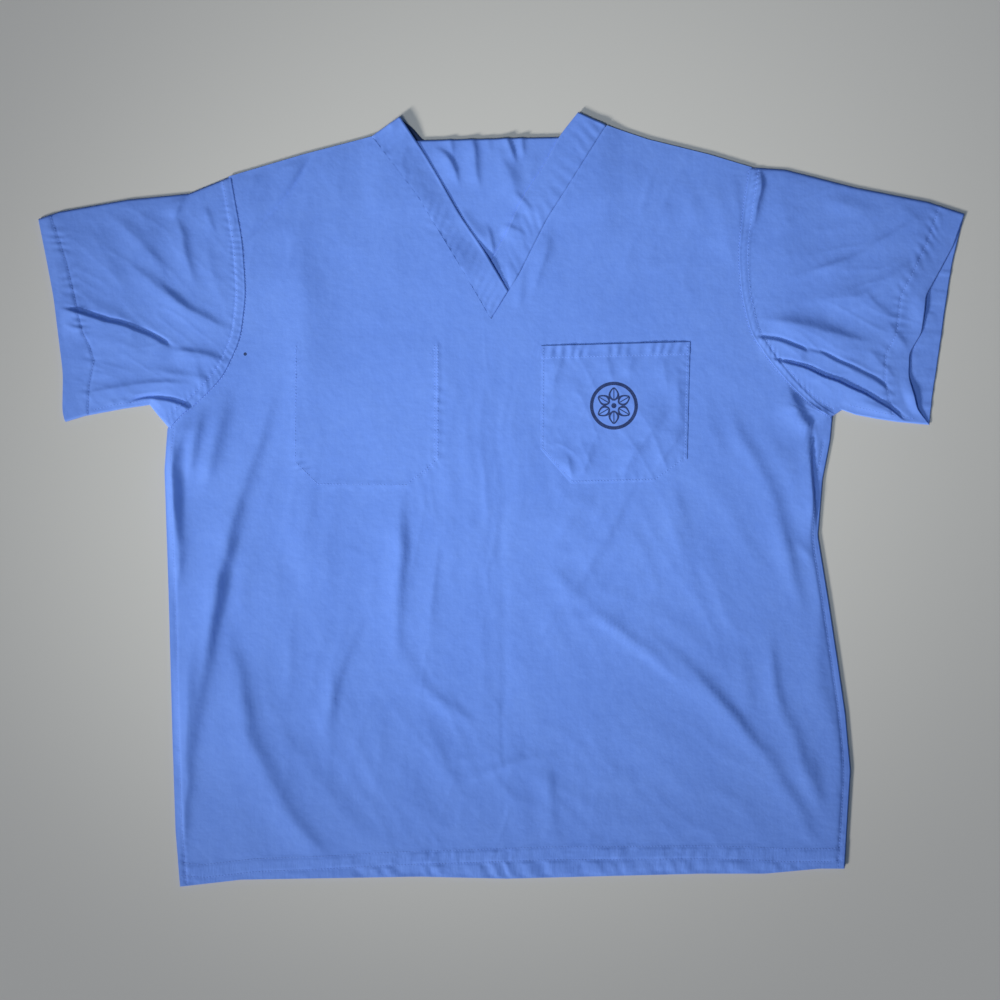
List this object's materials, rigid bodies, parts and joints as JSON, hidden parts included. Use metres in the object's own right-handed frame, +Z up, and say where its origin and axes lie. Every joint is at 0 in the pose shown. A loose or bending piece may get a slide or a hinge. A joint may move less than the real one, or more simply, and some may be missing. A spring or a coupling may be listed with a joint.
{
  "type": "v-neck scrub top",
  "caption": "Short-sleeved medical scrub top laid flat: V-neck with a lapped band, patch pocket at the chest, pocket sewn inside, set-in sleeves, hemmed edges.",
  "frame": {"origin": "centre of the garment's outline, on the surface it lies on", "axes": "+Z up out of the front, +Y towards the neck, +X towards the wearer's left sleeve"},
  "size_m": [0.9254, 0.773, 0.0105],
  "materials": {
    "blue_cloth": "matt plain weave, worn soft",
    "inside_cloth": "matt plain weave, inner side",
    "pocket_cloth": "matt plain weave with a dark blue round print"
  },
  "bodies": {
    "root": {"front_panel": "blue_cloth", "back_panel": "inside_cloth", "right_sleeve": "blue_cloth", "left_sleeve": "blue_cloth", "neckband_right_front": "blue_cloth", "neckband_left_front": "blue_cloth", "neckband_back": "inside_cloth", "patch_pocket": "pocket_cloth", "inner_pocket": "inside_cloth"}
  },
  "joints": []
}
